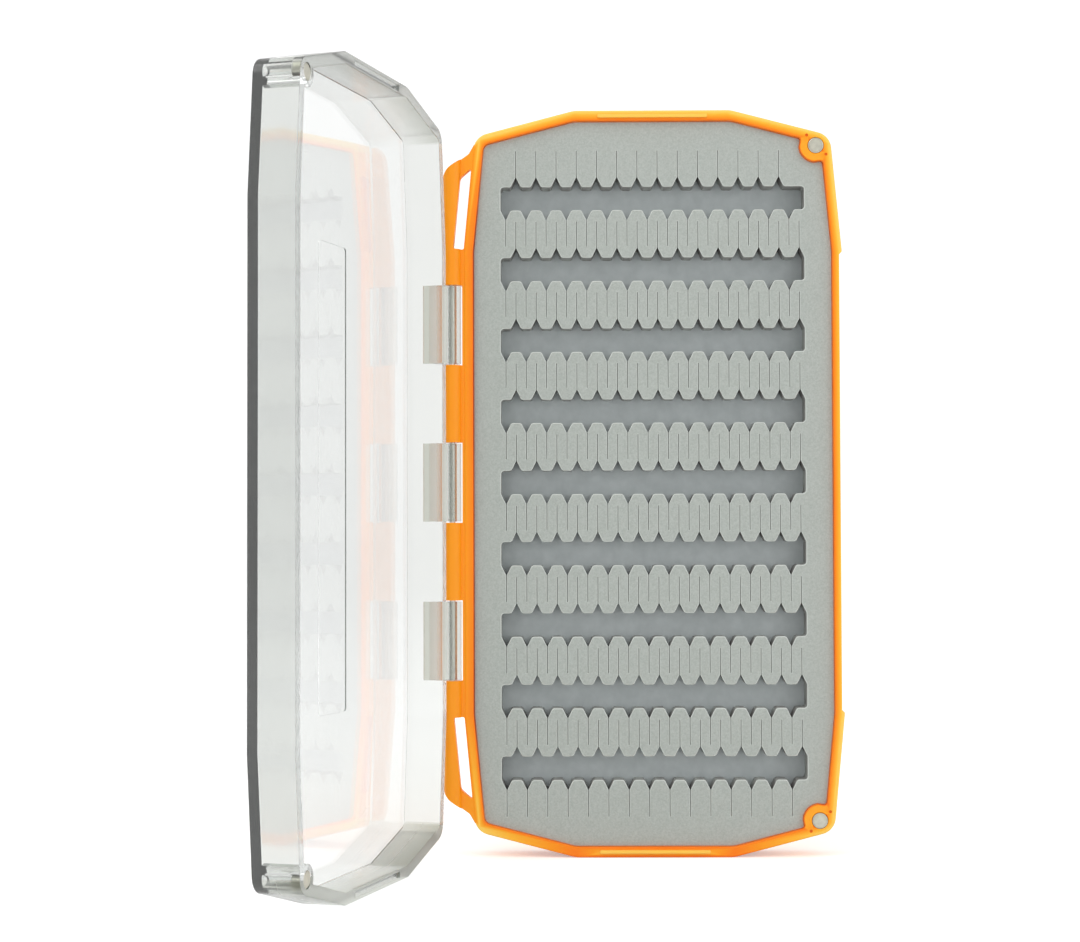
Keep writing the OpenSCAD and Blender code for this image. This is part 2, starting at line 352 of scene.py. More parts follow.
# painted light and shade on the plastic, from 0, a painted highlight along the rim's outer edge, to 1,
# painted shade on the inner walls
orange = {
    "tones": [(0.0, (1.0, 0.66, 0.13)), (0.3, (1.0, 0.48, 0.032)), (0.62, (0.99, 0.33, 0.007)),
              (0.84, (0.97, 0.215, 0.003)), (1.0, (0.45, 0.03, 0.002))],
    "cloud": 28.0,
    "cloudDetail": 4,
    "drift": 0.07,
    "grain": 900.0,
    "roughness": (0.26, 0.38),
    "bump": (0.12, 0.00008),
    "shader": {"IOR": 1.49, "Specular IOR Level": 0.28, "Subsurface Weight": 0.15,
               "Subsurface Radius": (1.0, 0.35, 0.1), "Subsurface Scale": 0.0004},
}


def orangePlastic():
    # the plastic lets some light through, but its yellower outer edges are mostly a painted highlight, and
    # its redder inner walls and holes are painted shade
    material, tree, shader, coords = newMaterial("orangePlastic")
    cloud = noise(tree, coords, orange["cloud"], orange["cloudDetail"])
    drift = spread(tree, cloud, -orange["drift"], orange["drift"])
    paintedShade = compute(tree, "ADD", readAttribute(tree, "paintedLightAndShade"), drift)
    grain = noise(tree, coords, orange["grain"])
    coat(tree, shader, ramp(tree, paintedShade, orange["tones"]), spread(tree, grain, *orange["roughness"]))
    bump(tree, shader, grain, *orange["bump"])
    setInputs(shader, orange["shader"])
    return material


foamLook = {
    "tones": [(0.32, (0.36, 0.39, 0.36)), (0.5, (0.415, 0.445, 0.415)), (0.70, (0.47, 0.50, 0.47))],
    "cut": (0.60, 0.64, 0.60),
    "paintedShade": (0.12, 0.095, 0.09),
    "orangeBounce": (0.80, 0.42, 0.22),
    "cells": 3000.0,
    "speckle": 2600.0,
    "speckleDetail": 4,
    "speckleRough": 0.65,
    "roughness": (0.82, 0.96),
    "bump": (0.3, 0.00008),
    "shader": {"Specular IOR Level": 0.25, "Sheen Weight": 0.15, "Sheen Roughness": 0.6},
}


def foamMaterial():
    material, tree, shader, coords = newMaterial("slitFoam")
    cells = tree.nodes.new("ShaderNodeTexVoronoi")
    setInputs(cells, {"Scale": foamLook["cells"]})
    tree.links.new(coords, cells.inputs["Vector"])
    speckle = noise(tree, coords, foamLook["speckle"], foamLook["speckleDetail"], foamLook["speckleRough"])
    body = ramp(tree, speckle, foamLook["tones"])
    # paler on the rounded rims of the holes, painted shade down in the notches, and painted orange bounce
    # light and shade beside the tray's wall
    for attribute, look in (("cutEdge", "cut"), ("paintedNotchShade", "paintedShade"), ("paintedOrangeBounce", "orangeBounce")):
        body = blend(tree, readAttribute(tree, attribute), body, foamLook[look])
    coat(tree, shader, body, spread(tree, speckle, *foamLook["roughness"]))
    bump(tree, shader, cells.outputs["Distance"], *foamLook["bump"])
    setInputs(shader, foamLook["shader"])
    return material


backingLook = {
    "tones": [(0.3, (0.51, 0.555, 0.56)), (0.7, (0.585, 0.63, 0.635))],
    "cloud": 340.0,
    "cloudDetail": 4,
    "grain": 1500.0,
    "roughness": (0.6, 0.78),
    "bump": (0.2, 0.00006),
    "shader": {"Specular IOR Level": 0.3},
}


def backingMaterial():
    material, tree, shader, coords = newMaterial("backingFoam")
    cloud = noise(tree, coords, backingLook["cloud"], backingLook["cloudDetail"])
    roughness = spread(tree, cloud, *backingLook["roughness"])
    coat(tree, shader, ramp(tree, cloud, backingLook["tones"]), roughness)
    bump(tree, shader, noise(tree, coords, backingLook["grain"]), *backingLook["bump"])
    setInputs(shader, backingLook["shader"])
    return material


filmLook = {
    "tones": [(0.3, (0.72, 0.70, 0.62)), (0.7, (0.80, 0.79, 0.73))],
    "cloud": 260.0,
    "roughness": (0.35, 0.5),
}


def filmMaterial():
    material, tree, shader, coords = newMaterial("adhesiveFilm")
    cloud = noise(tree, coords, filmLook["cloud"])
    coat(tree, shader, ramp(tree, cloud, filmLook["tones"]), spread(tree, cloud, *filmLook["roughness"]))
    return material


metalLook = {"darker": 0.82, "darkAt": 0.3, "lightAt": 0.65, "detail": 5, "rough": 0.6,
             "bump": (0.08, 0.00003)}
nickel = {"colour": (0.55, 0.54, 0.46), "scratches": 900.0, "roughness": (0.28, 0.42), "stretch": (1, 1, 1)}
wire = {"colour": (0.80, 0.80, 0.77), "scratches": 1400.0, "roughness": (0.2, 0.34), "stretch": (1, 1, 0.04)}


def metalMaterial(name, metal):
    # fine scratches run along the direction in which the pattern is stretched
    material, tree, shader, coords = newMaterial(name)
    mapping = tree.nodes.new("ShaderNodeMapping")
    setInputs(mapping, {"Scale": metal["stretch"]})
    tree.links.new(coords, mapping.inputs["Vector"])
    stretched = mapping.outputs["Vector"]
    scratches = noise(tree, stretched, metal["scratches"], metalLook["detail"], metalLook["rough"])
    colour = ramp(tree, scratches, twoTones(metal["colour"], metalLook))
    coat(tree, shader, colour, spread(tree, scratches, *metal["roughness"]))
    bump(tree, shader, scratches, *metalLook["bump"])
    setInputs(shader, {"Metallic": 1.0})
    return material


clear = {
    "tint": (0.935, 0.945, 0.938),
    "cloud": 60.0,
    "darker": 0.985,
    "darkAt": 0.35,
    "lightAt": 0.65,
    "paintedShadeAndFrost": (0.42, 0.435, 0.355),
    "absorb": (0.047, 0.10, 0.09),
    "density": 23.0,
    "grain": 700.0,
    "grainDetail": 4,
    "roughness": (0.003, 0.012),
    "massRough": 0.38,
    "shadow": (0.965, 0.97, 0.967),
    "shader": {"Transmission Weight": 0.965, "IOR": 1.49},
}


def clearPlastic():
    material, tree, shader, coords = newMaterial("clearPlastic")
    thin = ramp(tree, noise(tree, coords, clear["cloud"]), twoTones(clear["tint"], clear))
    shadeAndFrostLevel = readAttribute(tree, "paintedShadeAndFrost")
    polish = spread(tree, noise(tree, coords, clear["grain"], clear["grainDetail"]), *clear["roughness"])
    frosted = compute(tree, "MULTIPLY_ADD", shadeAndFrostLevel, clear["massRough"], polish)
    # the grey-brown tone on thick parts is painted shade, with a painted reflection of the tray on the
    # knuckles; the frost is real roughness
    coat(tree, shader, blend(tree, shadeAndFrostLevel, thin, clear["paintedShadeAndFrost"]), frosted)
    setInputs(shader, clear["shader"])
    body = tree.nodes.new("ShaderNodeVolumeAbsorption")
    setInputs(body, {"Color": (*clear["absorb"], 1), "Density": clear["density"]})
    output = tree.nodes["Material Output"]
    tree.links.new(body.outputs["Volume"], output.inputs["Volume"])
    # lamps and scattered light pass the clear shell instead of being stopped by it
    path = tree.nodes.new("ShaderNodeLightPath")
    soft = compute(tree, "MAXIMUM", path.outputs["Is Shadow Ray"], path.outputs["Is Diffuse Ray"])
    through = tree.nodes.new("ShaderNodeBsdfTransparent")
    setInputs(through, {"Color": (*clear["shadow"], 1)})
    mix = tree.nodes.new("ShaderNodeMixShader")
    tree.links.new(soft, mix.inputs["Fac"])
    tree.links.new(shader.outputs["BSDF"], mix.inputs[1])
    tree.links.new(through.outputs["BSDF"], mix.inputs[2])
    tree.links.new(mix.outputs["Shader"], output.inputs["Surface"])
    return material


orangeFinish = orangePlastic()
foamFinish = foamMaterial()
backingFinish = backingMaterial()
filmFinish = filmMaterial()
nickelFinish = metalMaterial("nickelPlate", nickel)
steelFinish = metalMaterial("drawnWire", wire)
clearFinish = clearPlastic()
print("materials ready")


magnet = {
    "x": 41.7,
    "z": 85.8,
    "radius": 2.0,
    "thick": 2.5,
    "sink": 0.1,
    "gap": 0.05,
    "chamfer": 0.22,
    "chamferRound": 0.3,
    "hub": 0.02,
    "ring": (0.80, 0.82, 0.85, 0.87),  # shares of the radius
    "ringDepth": 0.05,
}
hinge = {
    "x": -51.2,
    "y": -6.0,
    "barrel": 2.3,
    "pinRadius": 0.75,
    "pinHalf": 57.0,
    "pinEdge": 0.2,
    "pinRun": 0.05,
    "bore": 0.78,
    "knuckleLength": 19.8,
    "knucklePitch": 40.1,
    "gap": 0.3,
    "windowDepth": 2.0,  # past the rail's back
    "rodSides": 32,
}
ear = {
    "corner": 79.3,
    "top": 86.3,
    "root": 1.4,
    "waistOut": 1.3,
    "waistDrop": 2.3,
    "cornerRadius": 4.5,
    "waistRadius": 2.0,
    "cornerSteps": 6,
    "slotWidth": 2.6,
    "slotWeb": 0.05,
    "slotStart": 59.5,
    "slotEnd": 80.4,
    "slotShelf": 2.5,
    "slotRadii": [0.5, 0.4, 0.3, 1.5],
    "slotSteps": 4,
    "slotReach": 4.0,  # above the rim, past the barrel
}
tray = {
    "floor": 2.0,
    "wall": 2.5,
    "endWall": 2.7,
    "backEdge": 1.2,
    "backSteps": 4,
    "rimOuter": 0.5,
    "rimInner": 0.35,
    "floorEdge": 0.5,
    "edgeSteps": 3,
    "boss": 4.2,
    "bossSteps": 14,
    "bossFillet": 0.8,
    "filletSteps": 5,
    "filletRoom": 3,  # steps of the boss's arc that each fillet takes up
    "railThick": 2.8,
    "railSink": 0.18,
    "railEdge": 0.3,
    "thumbSet": 0.75,
    "thumbHalf": 58.6,
    "ribHalf": 14.0,
    "ribWidth": 0.9,
    "ribHeight": 0.6,
    "ribRoot": 0.6,
    "ribIn": 1.5,
    "ribCorner": 0.3,
    "ribEdge": 0.2,
    "pocketChamfer": 0.2,
    "pocketLap": 0.02,
    "pocketEdge": 0.18,
    "dimple": 0.4,
    "dimpleFloor": 0.7,  # share of the dimple's radius
    "dimpleDepth": 0.3,
    "dimpleWall": 0.2,
    "dimpleSides": 20,
    "dimpleNear": (2.6, -2.3),
    "dimpleFar": (-2.3, 2.6),
}
magnetSides = (-1, 1)
knuckles = [k * hinge["knucklePitch"] for k in (-1, 0, 1)]


def slantX(z):
    # half the box's width where its sides slant in
    top = box["halfLength"] - box["gableHeight"]
    w, side = box["halfWidth"], box["sideHalf"]
    return w - (z - side) * (w - box["cornerX"]) / (top - side)


def earOutline():
    edge = -slantX(ear["top"])
    half = [(hinge["x"] - hinge["barrel"], ear["corner"]),
            (edge - ear["waistOut"], ear["top"] - ear["waistDrop"]),
            (edge, ear["top"]), (edge + ear["root"], ear["top"]),
            (-box["halfWidth"] + ear["root"], box["sideHalf"])]
    points = half[::-1] + [(x, -z) for x, z in half]
    radii = [0, 0, 0, ear["waistRadius"], ear["cornerRadius"]]
    return roundCorners(points, radii + radii[::-1], [ear["cornerSteps"]] * len(points))


def strapSlot(s):
    near, far = slantX(ear["slotStart"]) + ear["slotWeb"], slantX(ear["slotEnd"]) + ear["slotWeb"]
    shelf = slantX(ear["slotEnd"] - ear["slotShelf"]) + ear["slotWeb"]
    points = [(-near - ear["slotWidth"], ear["slotStart"]), (-near, ear["slotStart"]), (-far, ear["slotEnd"]),
              (-shelf - ear["slotWidth"], ear["slotEnd"] - ear["slotShelf"])]
    outline = roundCorners(points, ear["slotRadii"], [ear["slotSteps"]] * len(points))
    if s < 0:
        outline = [(x, -z) for x, z in reversed(outline)]
    return slab("slot", outline, box["rimY"] - ear["slotReach"], box["backY"] + past)


def crossing(outer, inner, centre, r, halvings=40):
    # where the line from outer to inner meets the circle
    lowT, highT = 0.0, 1.0
    for _ in range(halvings):
        t = (lowT + highT) / 2
        p = (outer[0] + (inner[0] - outer[0]) * t, outer[1] + (inner[1] - outer[1]) * t)
        if math.hypot(p[0] - centre[0], p[1] - centre[1]) < r:
            highT = t
        else:
            lowT = t
    return p


def aroundBosses(outline):
    # the outline's points inside each magnet boss give way to an arc round it, with a fillet at both ends
    steps, r, room = tray["bossSteps"], tray["boss"], tray["filletRoom"]
    for s in magnetSides:
        cx, cz = magnet["x"], s * magnet["z"]
        inside = [math.hypot(x - cx, z - cz) < r for x, z in outline]
        first = next(i for i in range(len(outline)) if inside[i] and not inside[i - 1])
        ordered = outline[first:] + outline[:first]
        count = (inside[first:] + inside[:first]).index(False)
        enter = crossing(ordered[-1], ordered[0], (cx, cz), r)
        leave = crossing(ordered[count], ordered[count - 1], (cx, cz), r)
        a0 = math.atan2(enter[1] - cz, enter[0] - cx)
        sweep = (math.atan2(leave[1] - cz, leave[0] - cx) - a0) % (2 * math.pi) - 2 * math.pi
        turns = [a0 + sweep * k / steps for k in [0, *range(room, steps - room + 1), steps]]
        arc = [(cx + r * math.cos(a), cz + r * math.sin(a)) for a in turns]
        radii = [0] * (len(arc) + len(ordered) - count)
        radii[0] = radii[len(arc) - 1] = tray["bossFillet"]
        outline = roundCorners(arc + ordered[count:], radii, [tray["filletSteps"]] * len(radii))
    return outline


def cavityOutline(gap=0.0):
    # the inner outline of the tray, moved in by a gap
    plain = boxOutline(tray["wall"], tray["endWall"], corner=box["cornerRadius"] - tray["wall"])
    return shrunk(aroundBosses(plain), gap)


def trayBody():
    rings = []
    for across, down in roundover(tray["backEdge"], tray["backSteps"]):
        rings.append(flat(boxOutline(across), box["backY"] - down))
    for across, down in reversed(roundover(tray["rimOuter"], tray["edgeSteps"])):
        rings.append(flat(boxOutline(across), box["rimY"] + down))
    return loft("shell", rings)


def trayCavity():
    rim, floor = box["rimY"], box["backY"] - tray["floor"]
    rings = [flat(cavityOutline(-tray["rimInner"]), rim - past)]
    for across, down in roundover(tray["rimInner"], tray["edgeSteps"]):
        rings.append(flat(cavityOutline(-across), rim + down))
    for up, across in roundover(tray["floorEdge"], tray["edgeSteps"]):
        rings.append(flat(cavityOutline(across), floor - up))
    return loft("cavity", rings)


def dimpleCentres():
    offsets = (tray["dimpleNear"], tray["dimpleFar"])
    return [(magnet["x"] + x, s * (magnet["z"] + z)) for s in magnetSides for x, z in offsets]


def dimpleCut(centre):
    r, rim = tray["dimple"], box["rimY"]
    profile = [(r * tray["dimpleFloor"], rim + tray["dimpleDepth"]), (r, rim + tray["dimpleWall"]),
               (r, rim - past)]
    return turned("dimple", profile, centre, sides=tray["dimpleSides"])


def pocketCut(centre):
    # the hole for a magnet, with a chamfer at the rim
    r, rim = magnet["radius"] + magnet["gap"], box["rimY"]
    wide = r + tray["pocketChamfer"]
    profile = [(r, rim + magnet["sink"] + magnet["thick"]), (r, rim + tray["pocketEdge"]),
               (wide, rim - tray["pocketLap"]), (wide, rim - past)]
    return turned("pocket", profile, centre)


def endRib(s):
    # the raised line along the rim at one end of the tray
    middle, half = s * (box["halfLength"] - tray["ribIn"]), tray["ribWidth"] / 2
    outline = rectangle(-tray["ribHalf"], tray["ribHalf"], middle - half, middle + half)
    outline = roundCorners(outline, [tray["ribCorner"]] * 4, [tray["edgeSteps"]] * 4)
    top, root = box["rimY"] - tray["ribHeight"], box["rimY"] + tray["ribRoot"]
    return slab("rib", outline, top, root, tray["ribEdge"])


def hingeBarrel():
    # the barrel along the rail, clipped to the outline of the ears
    axis, r = (hinge["x"], hinge["y"]), hinge["barrel"]
    barrel = turned("barrel", [(r, -ear["top"]), (r, ear["top"])], axis, "z")
    return carve(barrel, [slab("earClip", earOutline(), hinge["y"] - r - past, box["backY"])], "INTERSECT")


def thumbRecess():
    w, t, inset = box["halfWidth"], tray["thumbHalf"], tray["thumbSet"]
    outline = [(w - inset, -t + inset), (w, -t), (w + past, -t),
               (w + past, t), (w, t), (w - inset, t - inset)]
    return slab("thumb", outline, box["rimY"] - past, box["backY"] + past)


def knuckleWindow(z):
    half, r = hinge["knuckleLength"] / 2 + hinge["gap"], hinge["barrel"]
    outline = rectangle(hinge["x"] - r - past, hinge["x"] + r + hinge["gap"], z - half, z + half)
    railBack = box["rimY"] + tray["railThick"]
    return slab("window", outline, hinge["y"] - r - past, railBack + hinge["windowDepth"])


def rodCut(radius, start, end):
    # the hole for the pin, along the hinge
    return turned("bore", [(radius, start), (radius, end)], (hinge["x"], hinge["y"]), "z", hinge["rodSides"])


def outlineEdges(outline):
    return [(a, unit(a, b)) for a, b in zip(outline, outline[1:] + outline[:1])]


def inward(edges, x, z):
    # how far a point lies inside a rounded outline, and less than 0 outside it
    return min((z - a[1]) * u[0] - (x - a[0]) * u[1] for a, u in edges)


# painted light and shade on the tray, on the scale of the orange tones; plain is the plastic's own colour
shade = {
    "plain": 0.62,
    "boss": 0.48,
    "dimple": 0.87,
    "rib": 0.12,
    "paintedFootShade": 0.86,
    "brightWall": 0.84,
    "outerSlope": 0.5,  # per millimetre down the outer wall
    "falloff": 1.5,
    "outside": 0.05,
    "outerBand": 0.1,
    "innerBand": 0.02,
    "rimBand": 0.01,
    "ribInside": 0.5,
    "footHeight": 1.0,
    "railReach": 1.0,
    "dimpleBand": 0.02,
}


def shadeTray(thing):
    # painted light and shade: 0, a painted highlight, along the rim's outer edge, and 1, painted shade, on
    # the inner walls and in holes
    outer, inner = outlineEdges(boxOutline()), outlineEdges(boxOutline(tray["wall"], tray["endWall"]))
    values = thing.data.attributes.new("paintedLightAndShade", "FLOAT", "POINT").data
    dimples, dimpleReach = dimpleCentres(), tray["dimple"] + shade["dimpleBand"]
    railSide = -box["cornerX"] + shade["railReach"]
    for v in thing.data.vertices:
        x, y, z = v.co
        drop, outside, inside = y - box["rimY"], inward(outer, x, z), inward(inner, x, z)
        if outside < -shade["outside"]:
            value = shade["plain"]
        elif outside < shade["outerBand"]:
            value = min(shade["plain"], drop * shade["outerSlope"])
        elif inside > shade["innerBand"]:
            value = shade["boss"] if drop < shade["rimBand"] else 1.0
        else:
            value = (outside / (outside - min(inside, 0.0))) ** shade["falloff"]
        # the rib is painted light, so that its shaded side does not show, and the lower end is painted
        # darker, as shade from light above
        if drop < -shade["outside"] and outside > shade["ribInside"]:
            value = shade["rib"]
        elif z < -box["halfLength"] + shade["footHeight"]:
            value = max(value, shade["paintedFootShade"])
        # away from the hinge the inner walls are painted lighter, the deepest painted shade stays in the
        # hinge side's gap, and that side's rail keeps at least the plastic's own colour
        if x > railSide:
            value = min(value, shade["brightWall"])
        if x < railSide and abs(z) < ear["top"]:
            value = max(value, shade["plain"])
        # painted shade down in the dimples
        if drop > shade["outerBand"] and any(math.hypot(x - c[0], z - c[1]) < dimpleReach for c in dimples):
            value = shade["dimple"]
        values[v.index].value = max(0.0, value)


def makeTray():
    shell = trayBody()
    adds, cuts = [], [trayCavity()]
    cuts += [dimpleCut(centre) for centre in dimpleCentres()]
    for s in magnetSides:
        cuts.append(pocketCut((magnet["x"], s * magnet["z"])))
        adds.append(endRib(s))
        cuts.append(strapSlot(s))
    railFace, railBack = box["rimY"] + tray["railSink"], box["rimY"] + tray["railThick"]
    adds.append(slab("rail", earOutline(), railFace, railBack, tray["railEdge"]))
    adds.append(hingeBarrel())
    cuts.append(thumbRecess())
    cuts += [knuckleWindow(z) for z in knuckles]
    cuts.append(rodCut(hinge["bore"], -hinge["pinHalf"], box["halfLength"]))
    carve(shell, adds, "UNION")
    carve(shell, cuts, "DIFFERENCE")
    shadeTray(shell)
    return place(shell, "tray", orangeFinish, "base", ["base_shell"])


makeTray()


foam = {
    "gap": 0.03,
    "face": foamLow[1] * perMetre,
    "back": foamHigh[1] * perMetre,
    "edge": 0.15,
    "edgeSteps": 3,
    "windowCount": 9,
    "windowPitch": 18.15,
    "windowHeight": 5.9,
    "notchCount": 15,
    "notchPitch": 5.17,
    "notchDepth": 2.5,
    "mouthShare": 0.25,  # half of a notch's mouth, as a share of the pitch
    "lowerShare": 0.25,
    "upperShare": 0.75,
    "slitLength": 6.8,
    "slitWidth": 0.13,
    "toothRound": 0.8,
    "toothSteps": 4,
    "toothEdge": 0.3,
    "slitEdge": 0.18,
    "apexEdge": 0.2,
    "mitreMost": 1.6,
    "mitreLeast": 0.6,
    "shadeDepth": 0.4,
    "toothShade": 0.55,
    "weld": 0.0015,
    "sliver": 1e-7,
    "sharpAngle": 50,
    "backingEdge": 0.3,
}


def windowLoop(upperCount):
    # counter-clockwise round the hole: lower notches from left to right, then upper notches back
    half, h, p = foam["notchCount"] * foam["notchPitch"] / 2, foam["windowHeight"] / 2, foam["notchPitch"]
    s, apex, mouth = foam["slitWidth"] / 2, h + foam["notchDepth"], p * foam["mouthShare"]
    tip = apex + foam["slitLength"]
    rounding, tooth, slit, point = (foam[k] for k in ("toothRound", "toothEdge", "slitEdge", "apexEdge"))

    def notch(x, side):
        steps = [(x - mouth, h, rounding, tooth), (x - s, apex, 0, point), (x - s, tip, 0, slit),
                 (x + s, tip, 0, slit), (x + s, apex, 0, point), (x + mouth, h, rounding, tooth)]
        if side > 0:
            steps.reverse()
        return [(px, side * pz, r, e) for px, pz, r, e in steps]

    corners = []
    for i in range(foam["notchCount"]):
        corners += notch(-half + (i + foam["lowerShare"]) * p, -1)
    corners.append((half, -h, rounding, tooth))
    if upperCount < foam["notchCount"]:
        corners.append((half, h, rounding, tooth))
    for i in reversed(range(upperCount)):
        corners += notch(-half + (i + foam["upperShare"]) * p, 1)
    corners.append((-half, h, rounding, tooth))
    points = [(x, z) for x, z, _, _ in corners]
    radii = [r for _, _, r, _ in corners]
    rounded = roundCorners(points, radii, [foam["toothSteps"]] * len(points))
    edges = []
    for _, _, r, e in corners:
        edges += [e] * (foam["toothSteps"] + 1 if r > 0 else 1)
    return rounded, edges


def outwardNormals(loop):
    # away from the hole, for a loop that runs counter-clockwise round it
    out = []
    for i, b in enumerate(loop):
        u, v = unit(loop[i - 1], b), unit(b, loop[(i + 1) % len(loop)])
        nx, nz = u[1] + v[1], -u[0] - v[0]
        size = math.hypot(nx, nz) or 1.0
        stretch = min(foam["mitreMost"], 2 / max(size, foam["mitreLeast"]))
        out.append((nx / size * stretch, nz / size * stretch))
    return out


def edgeRings(loop, edges, face, steps):
    # from the face's rounded edge down to the wall
    normals, rings = outwardNormals(loop), []
    for a in quarter(steps):
        across, down = 1 - math.sin(a), 1 - math.cos(a)
        rings.append([(x + n[0] * e * across, face + e * down, z + n[1] * e * across)
                      for (x, z), n, e in zip(loop, normals, edges)])
    return rings


def windowWall(name, upperCount):
    loop, edges = windowLoop(upperCount)
    rings = edgeRings(loop, edges, foam["face"], foam["edgeSteps"])
    rings += [[(x, y + foam["shadeDepth"], z) for x, y, z in rings[-1]], flat(loop, foam["back"])]
    bm = bmesh.new()
    cutEdge, paintedNotchShade = bm.verts.layers.float.new("cutEdge"), bm.verts.layers.float.new("paintedNotchShade")
    rows = [[bm.verts.new(p) for p in ring] for ring in rings]
    # the middle rings of the rounded edge are pale, and the two rings below it take painted shade, less of it
    # on the teeth
    for row in rows[1:-3]:
        for v in row:
            v[cutEdge] = 1.0
    for row in rows[-2:]:
        for v, e in zip(row, edges):
            v[paintedNotchShade] = foam["toothShade"] if e == foam["toothEdge"] else 1.0
    bridge(bm, rows, flipped=True)
    return linkMesh(name, bm), rings


def repeatedWindows(wall, count, pitch, start):
    # the window's toothed wall repeated along the foam
    tree = bpy.data.node_groups.new("foamWindows", "GeometryNodeTree")
    tree.interface.new_socket("Geometry", in_out="INPUT", socket_type="NodeSocketGeometry")
    inputs = {"Window Count": ("NodeSocketInt", count), "Window Pitch": ("NodeSocketFloat", pitch),
              "First Window": ("NodeSocketFloat", start), "Foam Material": ("NodeSocketMaterial", foamFinish)}
    sockets = {label: tree.interface.new_socket(label, in_out="INPUT", socket_type=kind).identifier
               for label, (kind, _) in inputs.items()}
    tree.interface.new_socket("Geometry", in_out="OUTPUT", socket_type="NodeSocketGeometry")
    given, line, onPoints, realize, paint, result, stepVector, startVector = (
        tree.nodes.new(kind) for kind in (
            "NodeGroupInput", "GeometryNodeMeshLine", "GeometryNodeInstanceOnPoints",
            "GeometryNodeRealizeInstances", "GeometryNodeSetMaterial", "NodeGroupOutput",
            "ShaderNodeCombineXYZ", "ShaderNodeCombineXYZ"))
    for source, output, target, label in (
            (given, "Window Pitch", stepVector, "Z"), (given, "First Window", startVector, "Z"),
            (given, "Window Count", line, "Count"), (stepVector, "Vector", line, "Offset"),
            (startVector, "Vector", line, "Start Location"), (line, "Mesh", onPoints, "Points"),
            (given, "Geometry", onPoints, "Instance"), (onPoints, "Instances", realize, "Geometry"),
            (realize, "Geometry", paint, "Geometry"), (given, "Foam Material", paint, "Material"),
            (paint, "Geometry", result, "Geometry")):
        tree.links.new(source.outputs[output], target.inputs[label])
    step = wall.modifiers.new("foamWindows", "NODES")
    step.node_group = tree
    for label, (_, value) in inputs.items():
        step[sockets[label]] = value
    applyModifiers(wall)


def sheetWithHoles(bm, outer, holes, facing):
    # flat sheet between the outer loop and the holes; facing is the sign of its normal's y
    loops = [[Vector(p) for p in outer]] + [[Vector(p) for p in reversed(h)] for h in holes]
    verts = [bm.verts.new(p) for loop in loops for p in loop]
    for tri in tessellate_polygon(loops):
        a, b, c = (verts[i] for i in tri)
        normal = (b.co - a.co).cross(c.co - a.co)
        if normal.length >= foam["sliver"]:
            bm.faces.new((a, b, c) if normal.y * facing > 0 else (a, c, b))


def makeFoam():
    count, pitch = foam["windowCount"], foam["windowPitch"]
    first = -(count - 1) / 2 * pitch
    wall, rings = windowWall("windowWall", foam["notchCount"])
    # the top window has one upper notch fewer, beside the magnet's boss
    topWall, topRings = windowWall("topWindowWall", foam["notchCount"] - 1)
    repeatedWindows(wall, count - 1, pitch, first)
    topWall.data.transform(Matrix.Translation((0, 0, first + (count - 1) * pitch)))
    outer = cavityOutline(foam["gap"])
    edge = roundover(foam["edge"], foam["edgeSteps"])
    rim = [flat(shrunk(outer, across), foam["face"] + down) for across, down in edge]
    rim.append(flat(outer, foam["back"]))

    def shifted(ring, k):
        return [(x, y, z + first + k * pitch) for x, y, z in ring]

    bm = bmesh.new()
    for label in ("cutEdge", "paintedNotchShade", "paintedOrangeBounce"):
        bm.verts.layers.float.new(label)
    orangeBounce = bm.verts.layers.float["paintedOrangeBounce"]
    for level, facing in ((0, -1), (-1, 1)):
        holes = [shifted(rings[level], k) for k in range(count - 1)] + [shifted(topRings[level], count - 1)]
        sheetWithHoles(bm, rim[level], holes, facing)
    rows = [[bm.verts.new(p) for p in ring] for ring in rim]
    # the foam's rounded outer rim takes painted orange bounce light from the tray's wall
    for v in [v for row in rows[1:-1] for v in row]:
        v[orangeBounce] = 1.0
    bridge(bm, rows)
    for thing in (wall, topWall):
        bm.from_mesh(thing.data)
        bpy.data.objects.remove(thing)
    bmesh.ops.remove_doubles(bm, verts=bm.verts, dist=foam["weld"])
    sheet = makeObject("foam", bm)
    return place(sheet, "foam", foamFinish, "base", ["slit_foam"], foam["sharpAngle"])


def makeBacking():
    face, back = backingLow[1] * perMetre, backingHigh[1] * perMetre
    sheet = slab("backing", cavityOutline(foam["gap"]), face, back, foam["backingEdge"])
    return place(sheet, "foamBacking", backingFinish, "base", ["foam_backing"])


makeFoam()
makeBacking()


lid = {
    "partGap": 0.1,
    "paintedShade": 11.2,
    "floor": 1.8,
    "wall": 2.8,
    "bend": 1.2,
    "faceEdge": 0.55,
    "faceSteps": 4,
    "rimEdge": 0.15,
    "rimSteps": 2,
    "innerEdge": 0.25,
    "innerSteps": 3,
    "post": 3.3,
    "postRoot": 1.0,
    "postInset": 0.1,
    "postHollow": 1.4,
    "hollowSides": 32,
    "ribGap": 0.3,
    "armReach": 5.8,
    "armEnd": 0.8,
    "armFlat": 1.4,
    "barrelSteps": 30,
    "openAngle": 106.0,
    "labelHalfLength": 54.3,
    "labelHalfWidth": 8.3,
    "labelOff": 3.3,
    "labelSet": 0.3,
    "labelCorner": 1.0,
    "labelSteps": 4,
    "sharpAngle": 28,
    "normalWeight": 85,
}
lid["rimY"] = box["rimY"] - lid["partGap"]
lid["faceY"] = lid["rimY"] - lid["paintedShade"]

# the lid is drawn shut and swings open about the hinge's axis
axisPoint = Vector((hinge["x"], hinge["y"], 0))
swing = Matrix.Rotation(-math.radians(lid["openAngle"]), 4, "Z")
lidPose = Matrix.Translation(axisPoint) @ swing @ Matrix.Translation(-axisPoint)


